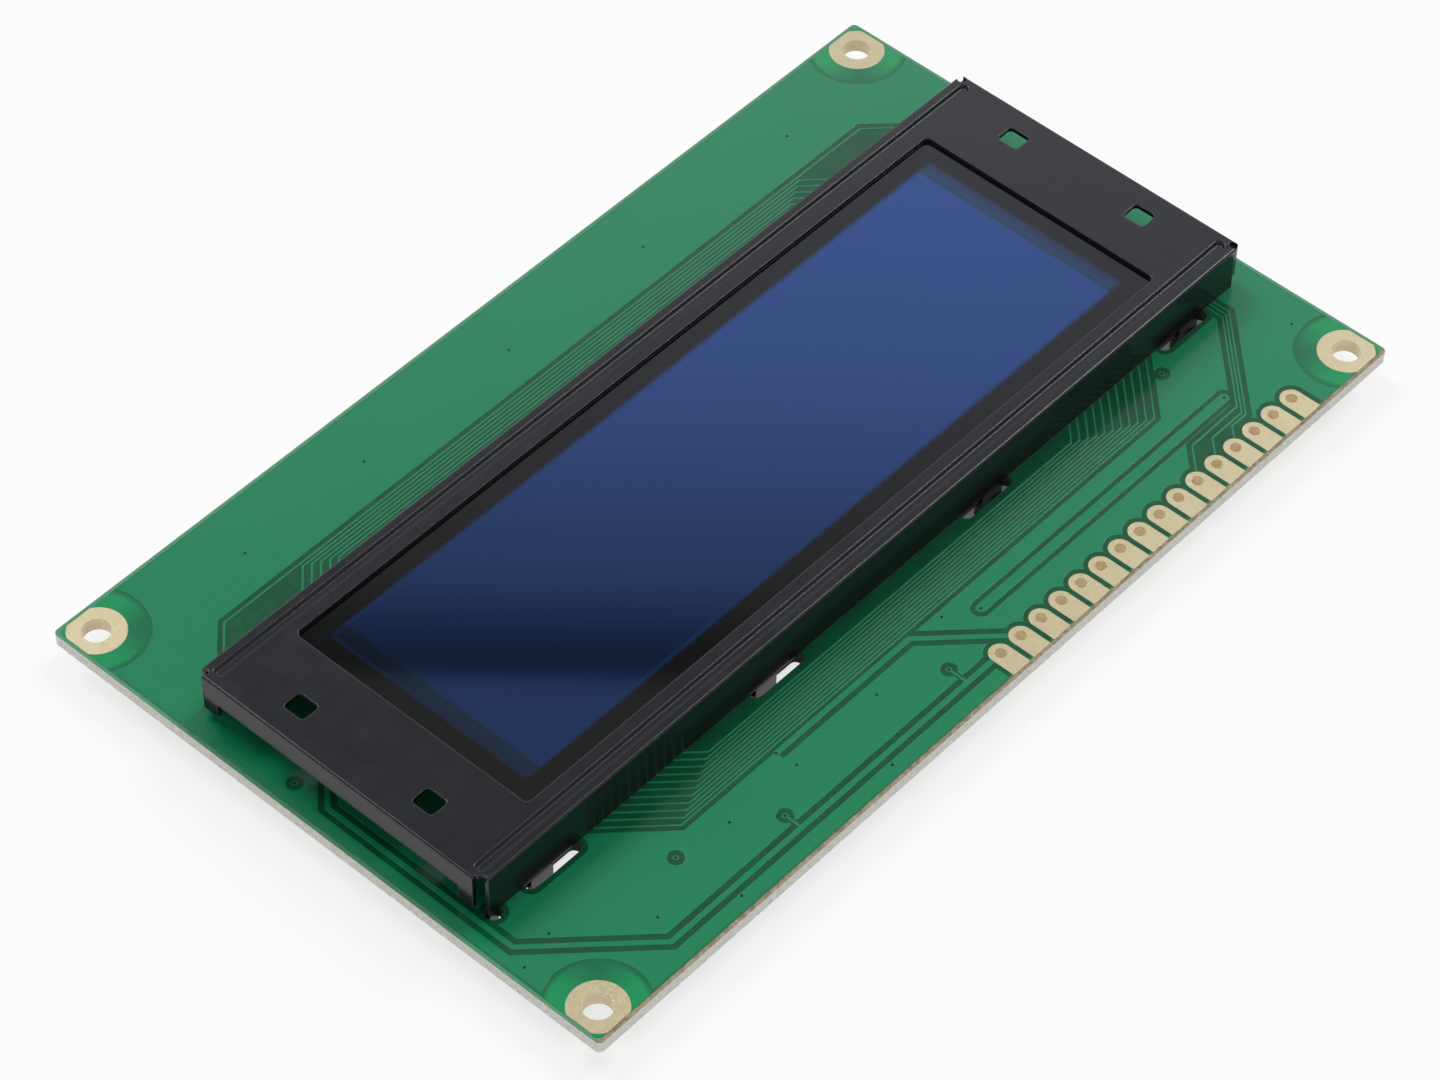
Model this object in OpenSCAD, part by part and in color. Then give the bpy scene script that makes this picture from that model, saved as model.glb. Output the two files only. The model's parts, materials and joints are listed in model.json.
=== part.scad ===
// Graphic display module: a printed circuit board that carries a flat display panel
// under a folded steel bezel. The bezel is held by tabs that pass through slots in the
// board and are twisted behind it.
// Frame: the origin is the centre of the board on its front laminate face, +X runs to the
// right with the row of solder pads along the top edge, +Y runs towards that edge and +Z
// points out of the screen. All sizes are in millimetres.

/* [Board] */
// Width of the circuit board
board_w = 98; // [86:0.5:120]
// Height of the circuit board
board_h = 60; // [54:0.5:80]
// Thickness of the bare laminate
board_t = 1.2; // [0.8:0.1:2]
// Radius of the board's corners
board_corner_r = 0.5; // [0.2:0.1:1.2]
// Bare strip between the solder mask and a cut edge
mask_margin = 0.35; // [0.1:0.05:0.4]
// Bare strip between the solder mask and a slot or the peg's hole
slot_margin = 0.05; // [0.02:0.01:0.1]
// Distance of a trace from a slot or the peg's hole
trace_slot_gap = 0.2; // [0.1:0.05:0.4]
// Bare strip between the copper and a cut edge
copper_margin = 0.5; // [0.45:0.05:1]
// Thickness of the copper foil
copper_t = 0.035; // [0.03:0.005:0.07]
// Thickness of the solder mask over copper
mask_t = 0.03; // [0.025:0.005:0.05]
// How far the mask sinks where no copper lies under it
mask_sag = 0.02; // [0.01:0.005:0.02]
// Thickness of the gold finish on bare copper
gold_t = 0.01; // [0.005:0.001:0.015]
// Wall of the plating inside a plated hole
plating_t = 0.03; // [0.02:0.005:0.05]

/* [Mounting holes] */
// Distance of a mounting hole from the board's edges
mount_inset = 2.5; // [2.3:0.1:3.5]
// Bore of a plated mounting hole
mount_hole_d = 2.5; // [2:0.1:3.2]
// Diameter of the bare ring round a mounting hole
mount_ring_d = 5; // [4.5:0.1:6]
// Diameter of the area without copper round a mounting hole
mount_clear_d = 9; // [7:0.1:10]

/* [Solder pads] */
// Number of pads in the row
pad_count = 16; // [14:1:20]
// Pitch of the pads
pad_pitch = 2.54; // [2.5:0.01:2.6]
// Bore of a plated pad hole
pad_hole_d = 1; // [0.8:0.05:1.2]
// Width of a pad
pad_w = 2.05; // [1.6:0.05:2.1]
// Distance of the first pad from the board's left edge
first_pad_inset = 10; // [8:0.1:20]
// Distance of the row of holes from the board's top edge
pad_row_inset = 2.54; // [2:0.01:4]
// Bare strip between the pads' outer ends and the top edge
pad_end_gap = 0.3; // [0.2:0.05:0.6]

/* [Traces] */
// Copper-free gap beside the pads, the bus and the straight trace
trace_gap = 0.43; // [0.3:0.01:0.44]
// Copper-free gap beside the edge trace and the feed trace
side_gap = 0.53; // [0.4:0.01:0.6]
// Width of the trace that runs along the board's edge
edge_trace_w = 0.48; // [0.4:0.02:0.6]
// Distance of the edge trace from the board's right edge
edge_trace_inset = 2.2; // [1.6:0.05:2.3]
// Width of the straight trace below the pads
long_trace_w = 0.9; // [0.4:0.05:1.2]
// Width of the trace from the last but one pad
feed_trace_w = 0.5; // [0.4:0.05:0.7]
// Width of a bundled trace
bundle_trace_w = 0.17; // [0.12:0.01:0.18]
// Pitch of the bundled traces above the bezel
upper_bundle_pitch = 0.336; // [0.3:0.002:0.38]
// Number of bundled traces above the bezel
upper_bundle_count = 11; // [6:1:13]
// Pitch of the bundled traces below the bezel
lower_bundle_pitch = 0.36; // [0.3:0.01:0.38]
// Number of bundled traces below the bezel
lower_bundle_count = 11; // [6:1:12]
// Radius of a covered via
via_r = 0.14; // [0.1:0.01:0.2]

/* [Bezel] */
// Distance of the bezel's short sides from the board's edges
bezel_end_gap = 2.4; // [2:0.1:5]
// Height of the bezel
bezel_h = 31.2; // [28:0.2:34]
// Height of the bezel's top above the board's laminate
bezel_top = 4.6; // [4.3:0.1:6]
// Thickness of the steel sheet
sheet_t = 0.4; // [0.35:0.05:0.5]
// Inner radius of the folds
bend_r = 0.05; // [0.05:0.05:0.1]
// Outer radius of a fold
fold_r = 0.2; // [0.1:0.05:0.4]
// Width of the top at each short side of the window
rail_x = 8.1; // [7.5:0.1:10]
// Width of the top at each long side of the window
rail_y = 2.95; // [2.6:0.05:4]
// Corner radius of the window
window_r = 0.5; // [0.2:0.1:1]
// Width of a locating hole in the top
hole_w = 1.9; // [1.2:0.1:2]
// Height of a locating hole in the top
hole_h = 2.2; // [1.2:0.1:3]
// Corner radius of a locating hole
hole_r = 0.4; // [0.2:0.05:0.5]
// Distance of the locating holes from the bezel's short sides
hole_inset = 3.15; // [2.5:0.05:3.5]
// Spacing of the locating holes along Y
hole_dy = 14; // [8:0.5:20]
// Setback of a long wall's end from the bezel's corner
long_wall_setback = 0.7; // [0.6:0.05:0.75]
// Setback of the right short wall from the bezel's upper corner, where the peg is
right_high_setback = 1.05; // [0.65:0.05:1.4]
// Setback of the right short wall from the bezel's lower corner
right_low_setback = 0.65; // [0.2:0.05:1.4]
// Setback of the left short wall from the bezel's corners
left_wall_setback = 0.3; // [0.2:0.05:1.4]
// Radius of the relief at a corner of the top
relief_r = 0.4; // [0.2:0.05:0.45]
// Height of a short wall between its legs
short_wall_h = 2.3; // [1.5:0.1:3]
// Width of the leg at each end of a short wall
short_leg_w = 1.6; // [1:0.05:3]
// Gap between a short wall's leg and the board
short_leg_gap = 0.8; // [0.2:0.05:1]
// Distance of the stiffening groove from the bezel's long side
bead_inset = 1.35; // [1.25:0.05:1.4]
// Width of the stiffening groove at the surface
bead_w = 1; // [1:0.05:1.25]
// Depth of the stiffening groove
bead_depth = 0.25; // [0.2:0.05:0.4]
// Distance of the groove's ends from the bezel's short sides
bead_end_inset = 0.8; // [0.8:0.1:3]

/* [Bezel tabs] */
// Length of a slot in the board
slot_l = 6; // [5.5:0.1:7]
// Width of a slot in the board
slot_w = 1.2; // [1:0.05:1.4]
// Distance of the outer slots from the bezel's short sides
outer_slot_inset = 7.6; // [6:0.1:10]
// Distance of the inner slots from the middle of the bezel
inner_slot_x = 13; // [8:0.1:20]
// Clearance between a tab and the inner side of its slot
tab_clear = 0.1; // [0.05:0.05:0.2]
// Width of a tab
tab_w = 2.5; // [2:0.1:3]
// How far a tab sits outward from the middle of its slot
tab_shift = 1.05; // [0.5:0.05:1.15]
// How far the tabs reach behind the board
tab_drop = 1.9; // [1.8:0.1:3]
// Angle that the tabs are twisted by behind the board
tab_twist = 40; // [30:1:60]
// Width of the peg at the right end of the upper long wall
peg_w = 1; // [0.7:0.05:1.1]
// Bore of the round hole that takes the peg
peg_hole_d = 1.4; // [1.4:0.05:1.8]
// How far the peg's hole sits outward from the middle of the peg
peg_hole_shift = 0.15; // [0:0.05:0.15]

/* [Display panel] */
// Thickness of the polariser film
polariser_t = 0.2; // [0.1:0.05:0.3]
// Thickness of the front glass
glass_t = 0.7; // [0.5:0.1:1.1]
// How far the front glass reaches under the bezel's short sides
glass_lap_x = 2.5; // [1.5:0.1:3.5]
// Clearance between the front glass and the bezel's grooves
glass_clear = 0.15; // [0.1:0.05:0.25]
// Dark border between the window and the picture area along X
picture_margin_x = 3.4; // [2:0.1:6]
// Dark border between the window and the picture area along Y
picture_margin_y = 2.05; // [1:0.05:4]
// Thickness of the picture-forming layers
emitter_t = 0.03; // [0.01:0.01:0.1]
// Height of the seal between the two glasses
seal_t = 0.05; // [0.02:0.01:0.1]
// Width of the seal
seal_w = 0.6; // [0.4:0.05:1]
// Gap between the picture-forming layers and the seal along Y
seal_gap = 0.1; // [0.05:0.05:0.3]
// Distance of the rear cap glass's ends from the front glass's ends
cap_end_inset = 0.6; // [0.3:0.1:2]
// Thickness of the rear cap glass
cap_t = 0.95; // [0.7:0.05:1.1]
// Depth of the pocket inside the rear cap glass
cap_pocket = 0.5; // [0.3:0.05:0.6]
// Thickness of the drying sheet
dryer_t = 0.2; // [0.1:0.05:0.25]
// Border between the drying sheet and the pocket's wall
dryer_margin = 1.5; // [0.5:0.1:4]
// Clearance between a contact strip and each edge of the glass ledge above it
strip_edge = 0.25; // [0.1:0.05:0.4]
// Distance of a contact strip's ends from the front glass's ends
strip_end_inset = 3; // [2:0.1:6]
// Clearance between a contact strip and its holder
strip_clear = 0.1; // [0.05:0.05:0.2]
// Width of the holder's bars
holder_bar = 3; // [2:0.1:5]
// Clearance between the holder and the bezel's long walls
holder_clear = 0.5; // [0.2:0.1:1]

/* [Back parts] */
// Diameter of a resin cover
cover_d = 13; // [11:0.5:16]
// Height of a resin cover
cover_h = 1.3; // [1:0.1:1.5]
// Distance of the resin covers from the middle of the board
cover_x = 19; // [12:0.5:26]
// Spacing of the small parts in a row
part_pitch = 3; // [2.6:0.1:3.2]
// Length of a driver die
die_l = 5.2; // [3:0.1:6]
// Width of a driver die
die_w = 2.4; // [1.5:0.1:3]
// Thickness of a driver die
die_t = 0.4; // [0.3:0.05:0.5]
// Length of a chip resistor
resistor_l = 1.6; // [1.4:0.1:2]
// Width of a chip resistor
resistor_w = 0.8; // [0.6:0.1:1]
// Height of a chip resistor
resistor_h = 0.45; // [0.3:0.05:0.6]
// Length of a chip capacitor
capacitor_l = 2; // [1.6:0.1:2.2]
// Width of a chip capacitor
capacitor_w = 1.25; // [0.8:0.05:1.3]
// Height of a chip capacitor
capacitor_h = 0.9; // [0.6:0.05:1.3]
// Length of an end cap on a chip part
end_cap_l = 0.3; // [0.2:0.05:0.4]
// Side of the square coil part
coil_side = 4; // [3:0.1:5]
// Height of the coil part
coil_h = 1.5; // [1:0.1:1.6]
// Length of the converter's package
converter_l = 2.9; // [2.7:0.1:3.1]
// Width of the converter's package
converter_w = 1.6; // [1.4:0.1:1.8]
// Height of the small packages
package_h = 1.1; // [0.9:0.05:1.3]
// Length of the diode's package
diode_l = 2.7; // [2.5:0.1:3]
// Thickness of a package lead
lead_t = 0.15; // [0.1:0.01:0.2]
// Thickness of the solder between a part and its land
solder_t = 0.04; // [0.02:0.01:0.06]
// How far a land reaches out beyond its part
land_reach = 0.5; // [0.3:0.05:0.6]

/* [Hidden] */
$fn = 64;

// A little more than nothing, for cutting clean through
eps = 0.1;
// Levels on the board, measured outward from the laminate
mask_low = copper_t + mask_t - mask_sag;
mask_top = copper_t + mask_t;
pad_top = copper_t + gold_t;

// Mounting holes
mount_dx = board_w - 2*mount_inset;
mount_dy = board_h - 2*mount_inset;

// Row of solder pads
pad_y = board_h/2 - pad_row_inset;
pad_xs = [for (i = [0:pad_count - 1]) -board_w/2 + first_pad_inset + i*pad_pitch];

// Bezel
bezel_w = board_w - 2*bezel_end_gap;
bend_out = bend_r + sheet_t;
window_w = bezel_w - 2*rail_x;
window_h = bezel_h - 2*rail_y;
hole_x = bezel_w/2 - hole_inset;
bead_y = bezel_h/2 - bead_inset;
// Half the width of a groove's underside, whose walls lean at 45 degrees
bead_foot = bead_w/2 - bead_depth + sheet_t*tan(22.5);
bead_under = bead_foot + bead_depth;
slot_y = bezel_h/2 - sheet_t - tab_clear + slot_w/2;
slot_xs = [inner_slot_x, bezel_w/2 - outer_slot_inset];
tab_y = bezel_h/2 - sheet_t/2;
peg_x = bezel_w/2 - long_wall_setback - peg_w/2;
tab_start = 0.1;
// A tab turns by even steps, and its last step runs on to the tip
twist_steps = 6;
twist_step_h = 0.15;
twist_lap = 0.03;

// Display panel, from the bezel's underside down
panel_top = bezel_top - sheet_t;
glass_top = panel_top - polariser_t;
glass_bottom = glass_top - glass_t;
cap_top = glass_bottom - seal_t;
cap_bottom = cap_top - cap_t;
glass_w = window_w + 2*glass_lap_x;
glass_h = 2*(bead_y - bead_under - glass_clear);
picture_w = window_w - 2*picture_margin_x;
picture_h = window_h - 2*picture_margin_y;
cap_w = glass_w - 2*cap_end_inset;
cap_h = picture_h + 2*seal_gap + 2*seal_w;
// Ledge of the front glass outside the rear glass along each long side
ledge_w = (glass_h - cap_h)/2;
strip_w = ledge_w - 2*strip_edge;
strip_l = glass_w - 2*strip_end_inset;
strip_y = glass_h/2 - ledge_w/2;
holder_w = strip_l + holder_bar;
holder_corner_r = 0.5;
holder_h = bezel_h - 2*sheet_t - 2*holder_clear;

// Traces on the front, each a list of corner points. They share the strip between the bezel
// and the pads, and the strip between the bezel and the board's lower edge
upper_strip = pad_y - bezel_h/2;
lower_strip = board_h/2 - bezel_h/2;
bundle_hide_y = bezel_h/2 - 2*sheet_t;
// Three traces from the fourth to the sixth pad
bus_drops = [1.72, 2.09, 2.8];
bus_turn_y = bezel_h/2 + 0.143*upper_strip;
bus_end_x = -bezel_w/2 + 3.2;
bus_end_pitch = 0.45;
bus_paths = [for (k = [0:2]) let (y = pad_y - bus_drops[k], x = bus_end_x + k*bus_end_pitch) [
    [pad_xs[k + 3], pad_y],
    [pad_xs[k + 3] - bus_drops[k], y],
    [x + y - bus_turn_y, y],
    [x, bus_turn_y],
    [x, bundle_hide_y]
]];
// Area without copper between the three, up to the pads
bus_field = [
    bus_paths[2][0], bus_paths[2][1], bus_paths[2][2], bus_paths[0][2], [bus_paths[0][2][0], pad_y]
];
// Straight trace below the pads
long_trace_y = pad_y - 0.356*upper_strip;
long_trace_path = [[pad_xs[1] + pad_pitch/2, long_trace_y], [pad_xs[pad_count - 2], long_trace_y]];
// Trace from the last pad round the board's right edge
edge_x = board_w/2 - edge_trace_inset;
edge_corner = 8.55;
edge_turn_y = -1;
edge_tail = edge_x - bezel_w/2 + 2;
edge_path = [
    [pad_xs[pad_count - 1], pad_y],
    [edge_x - edge_corner, pad_y],
    [edge_x, pad_y - edge_corner],
    [edge_x, edge_turn_y],
    [edge_x - edge_tail, edge_turn_y - edge_tail]
];
// Bundle above the bezel, which bends down under it at both ends
upper_bundle_y = bezel_h/2 + 0.405*upper_strip;
upper_bend_x = 0.3*board_w;
bend_step = 0.69;
function bundle_path(y, bend_x, hide_y) = let (run = abs(y - hide_y)) [
    [-bend_x - run, hide_y], [-bend_x, y], [bend_x, y], [bend_x + run, hide_y]
];
upper_paths = [for (k = [0:upper_bundle_count - 1])
    bundle_path(upper_bundle_y - k*upper_bundle_pitch, upper_bend_x - k*bend_step, bundle_hide_y)];
// Bundle below the bezel, whose outermost trace reaches further out
lower_bundle_y = -bezel_h/2 - 0.346*lower_strip;
lower_bend_x = 0.311*board_w;
lower_outer_bend_x = slot_xs[1];
lower_paths = [for (k = [0:lower_bundle_count - 1])
    bundle_path(lower_bundle_y + k*lower_bundle_pitch,
        k == 0 ? lower_outer_bend_x : lower_bend_x - (k - 1)*bend_step, -bundle_hide_y)];
bundle_margin = 0.52;
// Trace from the last but one pad to the side of the upper bundle
feed_y = upper_bundle_y + 0.65;
feed_end_x = 0.194*board_w;
feed_path = [
    [pad_xs[pad_count - 2], pad_y],
    [pad_xs[pad_count - 2] + pad_y - feed_y, feed_y],
    [feed_end_x, feed_y]
];
// Vias that stand in a gap of their own, the first two linked to the edge trace
ring_via_gap_r = 0.73;
ring_via_pad_r = 0.24;
via_link_w = 0.24;
via_link_gap = 0.14;
linked_vias = [
    [0.033*board_w, pad_y - 0.163*upper_strip], [0.237*board_w, pad_y - 0.146*upper_strip]
];
ring_vias = concat(linked_vias, [
    [0.327*board_w, pad_y - 0.439*upper_strip], [-0.345*board_w, bezel_h/2 + 0.172*upper_strip],
    [edge_x, -0.15*bezel_h]
]);
via_links = [for (v = linked_vias) [v, [v[0], pad_y]]];
// Vias in the copper area
upper_via_spots = [
    [-0.468, 0.447], [-0.006, 0.502], [0.14, -0.093], [0.093, 0.379], [0.192, 0.375],
    [0.32, -0.085], [0.38, 0.198], [0.272, 0.379], [0.449, 0.624]
];
upper_vias = [for (s = upper_via_spots) [s[0]*board_w, pad_y - s[1]*upper_strip]];
edge_via = [edge_x + 0.8, pad_y - 0.553*upper_strip];
lower_via_y = lower_bundle_y - 0.285*lower_strip;
lower_vias = [for (s = [-0.346, -0.155, 0.016, 0.193, 0.333]) [s*board_w, lower_via_y]];
trace_vias = [long_trace_path[0], long_trace_path[1], feed_path[2]];
front_vias = concat(upper_vias, [edge_via], lower_vias, trace_vias, ring_vias);

// Parts on the back: place, and turn about Z. The upper row lies half way between the slots
// and the pads, the lower row just inside the slots
slot_edge = slot_w/2;
upper_row_y = (slot_y + slot_edge + pad_y - pad_w/2)/2;
lower_row_y = -slot_y + slot_edge + 0.8*part_pitch;
side_part_x = cover_x + cover_d/2 + 1.33*part_pitch;
resistor_places = [
    for (i = [0:4]) [part_pitch*(i - 2.7), upper_row_y, 90],
    for (sx = [-1, 1], i = [-1, 1]) [sx*cover_x + i*part_pitch, lower_row_y, 0]
];
capacitor_places = [
    for (k = [-8.7, -4.3]) [k*part_pitch, upper_row_y, 90],
    for (sx = [-1, 1], sy = [-1, 1]) [sx*side_part_x, sy*part_pitch, 90]
];
coil_place = [-10.7*part_pitch, upper_row_y, 0];
converter_place = [-7.2*part_pitch, upper_row_y, 0];
diode_place = [-5.7*part_pitch, upper_row_y, 90];
coil_corner_r = 0.6;
coil_wall = 0.45;
coil_core_d = 1.8;
coil_well = 0.35;
coil_land_l = 1.1;
coil_land_w = 3.2;
converter_lead_pitch = 0.95;
converter_lead_w = 0.4;
diode_lead_w = 0.6;
lead_out = 0.65;
lead_foot = 0.4;
lead_knee = 0.12;
land_side = 0.05;
package_draft = 0.12;
fillet_rise = 0.6;

// Left and right sides of a path, with mitred corners
function unit(v) = v/norm(v);
function side_of(a, b) = let (d = unit(b - a)) [-d[1], d[0]];
function side_point(path, i, offset) =
    let (last = len(path) - 1)
    let (before = side_of(path[max(i, 1) - 1], path[max(i, 1)]))
    let (after = side_of(path[min(i, last - 1)], path[min(i, last - 1) + 1]))
    path[i] + offset*(before + after)/(1 + before*after);
function stroke_points(path, width) = concat(
    [for (i = [0:len(path) - 1]) side_point(path, i, width/2)],
    [for (i = [len(path) - 1:-1:0]) side_point(path, i, -width/2)]
);

// A band of even width along a path
module stroke(path, width) {
    polygon(stroke_points(path, width));
}

// The same with round ends
module round_stroke(path, width) {
    stroke(path, width);
    for (p = [path[0], path[len(path) - 1]]) translate(p) circle(width/2);
}

module rounded_rect(w, h, r) {
    square([w - 2*r, h], center = true);
    square([w, h - 2*r], center = true);
    four(w/2 - r, h/2 - r) circle(r);
}

module slot_shape(l, w) {
    square([l - w, w], center = true);
    for (sx = [-1, 1]) translate([sx*(l - w)/2, 0]) circle(w/2);
}

// Copies at the four corners of a rectangle
module four(dx, dy) {
    for (sx = [-1, 1], sy = [-1, 1]) translate([sx*dx, sy*dy]) children();
}

// Mirrored copies in the four quarters of the plan
module quarters() {
    for (mx = [0, 1], my = [0, 1]) mirror([mx, 0, 0]) mirror([0, my, 0]) children();
}

module each_place(places) {
    for (p = places) translate([p[0], p[1]]) rotate(p[2]) children();
}

// Draws on the back of the board, with +Z pointing away from it
module on_back() {
    translate([0, 0, -board_t]) mirror([0, 0, 1]) children();
}

// Plan shapes of the board
module board_shape(inset) {
    rounded_rect(board_w - 2*inset, board_h - 2*inset, board_corner_r);
}

module slot_shapes(grow) {
    for (x = slot_xs) four(x, slot_y) slot_shape(slot_l + 2*grow, slot_w + 2*grow);
    translate([peg_x, tab_y + peg_hole_shift]) circle(peg_hole_d/2 + grow);
}

module pad_shape(grow) {
    circle(pad_w/2 + grow);
    translate([-pad_w/2 - grow, 0]) square([pad_w + 2*grow, pad_row_inset - pad_end_gap + grow]);
}

module pad_shapes(grow) {
    for (x = pad_xs) translate([x, pad_y]) pad_shape(grow);
}

module ring_shapes(grow) {
    intersection() {
        four(mount_dx/2, mount_dy/2) circle(mount_ring_d/2 + grow);
        board_shape(mask_margin - grow);
    }
}

module mount_clear_shapes() {
    four(mount_dx/2, mount_dy/2) circle(mount_clear_d/2);
}

// Area without copper that holds a bundle of traces
module bundle_field(y, bend_x) {
    side = sign(y);
    run = abs(y) - bundle_hide_y + bundle_margin;
    edge = bend_x + bundle_margin*tan(22.5);
    polygon([
        [-edge, y + side*bundle_margin],
        [edge, y + side*bundle_margin],
        [edge + run, side*bundle_hide_y],
        [-edge - run, side*bundle_hide_y]
    ]);
}

module front_gap_shapes() {
    for (path = bus_paths) stroke(path, bundle_trace_w + 2*trace_gap);
    polygon(bus_field);
    round_stroke(long_trace_path, long_trace_w + 2*trace_gap);
    stroke(edge_path, edge_trace_w + 2*side_gap);
    stroke(feed_path, feed_trace_w + 2*side_gap);
    for (path = via_links) stroke(path, via_link_w + 2*via_link_gap);
    bundle_field(upper_bundle_y, upper_bend_x);
    bundle_field(lower_bundle_y, lower_outer_bend_x);
    for (v = ring_vias) translate(v) circle(ring_via_gap_r);
}

module front_trace_shapes() {
    for (path = concat(bus_paths, upper_paths, lower_paths)) stroke(path, bundle_trace_w);
    round_stroke(long_trace_path, long_trace_w);
    for (path = via_links) stroke(path, via_link_w);
    stroke(edge_path, edge_trace_w);
    stroke(feed_path, feed_trace_w);
    for (v = ring_vias) translate(v) circle(ring_via_pad_r);
}

module front_copper_shape() {
    difference() {
        union() {
            difference() {
                board_shape(copper_margin);
                mount_clear_shapes();
                slot_shapes(copper_margin);
                pad_shapes(trace_gap);
                front_gap_shapes();
            }
            front_trace_shapes();
        }
        pad_shapes(0);
        slot_shapes(trace_slot_gap);
    }
}

// Lands of one chip part of length l and width w
module chip_lands(l, w, cap, grow) {
    for (sx = [-1, 1])
        translate([sx*(l/2 - cap/2 + land_reach/2), 0])
            square([cap + land_reach + 2*grow, w + 2*land_side + 2*grow], center = true);
}

// Lands of a row of package leads at the distances ys along the package
module lead_lands(reach, ys, w, grow) {
    for (y = ys)
        translate([reach + lead_out + (land_reach - lead_foot)/2, y])
            square([lead_foot + land_reach + 2*grow, w + 2*land_side + 2*grow], center = true);
}

converter_ys = [for (i = [-1:1]) i*converter_lead_pitch];
converter_pair = [converter_ys[0], converter_ys[2]];

module back_land_shapes(grow) {
    each_place(resistor_places) chip_lands(resistor_l, resistor_w, end_cap_l, grow);
    each_place(capacitor_places) chip_lands(capacitor_l, capacitor_w, end_cap_l, grow);
    each_place([coil_place]) chip_lands(coil_side, coil_land_w, coil_land_l, grow);
    each_place([converter_place]) {
        lead_lands(converter_w/2, converter_ys, converter_lead_w, grow);
        mirror([1, 0]) lead_lands(converter_w/2, converter_pair, converter_lead_w, grow);
    }
    each_place([diode_place])
        for (m = [0, 1]) mirror([m, 0]) lead_lands(diode_l/2, [0], diode_lead_w, grow);
}

module back_copper_shape() {
    difference() {
        board_shape(copper_margin);
        mount_clear_shapes();
        slot_shapes(copper_margin);
        pad_shapes(trace_gap);
        back_land_shapes(trace_gap/2);
    }
    back_land_shapes(0);
}

// Solder mask over a copper layer: the first child is its outline, the second the copper
module mask_film() {
    linear_extrude(mask_low) difference() {
        children(0);
        children(1);
    }
    translate([0, 0, copper_t]) linear_extrude(mask_t) intersection() {
        children(0);
        children(1);
    }
}

module mask_outline() {
    difference() {
        board_shape(mask_margin);
        slot_shapes(slot_margin);
        ring_shapes(0);
        pad_shapes(0);
    }
}

// Board
module circuit_board() color("#bcb48c") translate([0, 0, -board_t]) linear_extrude(board_t)
    difference() {
        board_shape(0);
        slot_shapes(0);
        four(mount_dx/2, mount_dy/2) circle(mount_hole_d/2 + plating_t);
        for (x = pad_xs) translate([x, pad_y]) circle(pad_hole_d/2 + plating_t);
    }

module front_copper() color("#b8794a") linear_extrude(copper_t) front_copper_shape();

module back_copper() color("#b8794a") on_back() linear_extrude(copper_t) back_copper_shape();

module front_solder_mask() color("#2f7d56") difference() {
    mask_film() {
        mask_outline();
        front_copper_shape();
    }
    for (v = front_vias) translate([v[0], v[1], copper_t + mask_t/2]) cylinder(r = via_r, h = mask_t);
}

module back_solder_mask() color("#2f7d56") on_back() mask_film() {
    difference() {
        mask_outline();
        back_land_shapes(0);
    }
    back_copper_shape();
}

// A plated hole: a face on each side of the board, given as the child, and the barrel between
module plated_hole(bore) {
    difference() {
        union() {
            linear_extrude(pad_top) children();
            on_back() linear_extrude(pad_top) children();
            translate([0, 0, -board_t]) cylinder(d = bore + 2*plating_t, h = board_t);
        }
        translate([0, 0, -board_t - pad_top - eps]) cylinder(d = bore, h = board_t + 2*pad_top + 2*eps);
    }
}

module mounting_rings() color("#d8c184")
    for (sx = [-1, 1], sy = [-1, 1]) translate([sx*mount_dx/2, sy*mount_dy/2])
        plated_hole(mount_hole_d) intersection() {
            circle(mount_ring_d/2);
            translate([-sx*mount_dx/2, -sy*mount_dy/2]) board_shape(mask_margin);
        }

module header_pads() color("#d8c184")
    for (x = pad_xs) translate([x, pad_y]) plated_hole(pad_hole_d) pad_shape(0);

// Section of a bezel wall with its fold, with the wall's outer face at u = half
module wall_section(half, bottom) {
    lap = sheet_t;
    translate([half - bend_out - lap, bezel_top - sheet_t]) square([lap, sheet_t]);
    translate([half - bend_out, bezel_top - bend_out]) difference() {
        union() {
            square([bend_out, bend_out - fold_r]);
            square([bend_out - fold_r, bend_out]);
            translate([bend_out - fold_r, bend_out - fold_r]) circle(fold_r);
        }
        circle(bend_r);
    }
    translate([half - sheet_t, bottom]) square([sheet_t, bezel_top - bend_out - bottom]);
}

// Section turned upright and drawn along X or Y
module along_x(l) {
    rotate([90, 0, 90]) translate([0, 0, -l/2]) linear_extrude(l) children();
}

module along_y(l) {
    rotate([90, 0, 0]) translate([0, 0, -l/2]) linear_extrude(l) children();
}

module bezel_plate() {
    translate([0, 0, panel_top]) linear_extrude(sheet_t)
        square([bezel_w - 2*bend_out, bezel_h - 2*bend_out], center = true);
}

module long_wall() {
    along_x(bezel_w - 2*long_wall_setback) wall_section(bezel_h/2, mask_top);
}

module short_wall(low_setback, high_setback) {
    l = bezel_h - low_setback - high_setback;
    leg_bottom = mask_top + short_leg_gap;
    translate([0, (low_setback - high_setback)/2, 0]) {
        along_y(l) wall_section(bezel_w/2, bezel_top - short_wall_h);
        for (m = [0, 1]) mirror([0, m, 0]) translate([bezel_w/2 - sheet_t, l/2 - short_leg_w, leg_bottom])
            cube([sheet_t, short_leg_w, bezel_top - bend_out - leg_bottom]);
    }
}

// Groove, or its underside: flat floor of half width foot, walls at 45 degrees
module bead(foot, rise) {
    straight = bezel_w - 2*bead_end_inset - bead_w;
    along_x(straight) polygon([[-foot, 0], [foot, 0], [foot + rise, rise], [-foot - rise, rise]]);
    for (sx = [-1, 1]) translate([sx*straight/2, 0]) cylinder(r1 = foot, r2 = foot + rise, h = rise);
}

module bead_groove() {
    translate([0, bead_y, bezel_top - bead_depth]) bead(bead_w/2 - bead_depth, bead_depth + eps);
}

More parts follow.
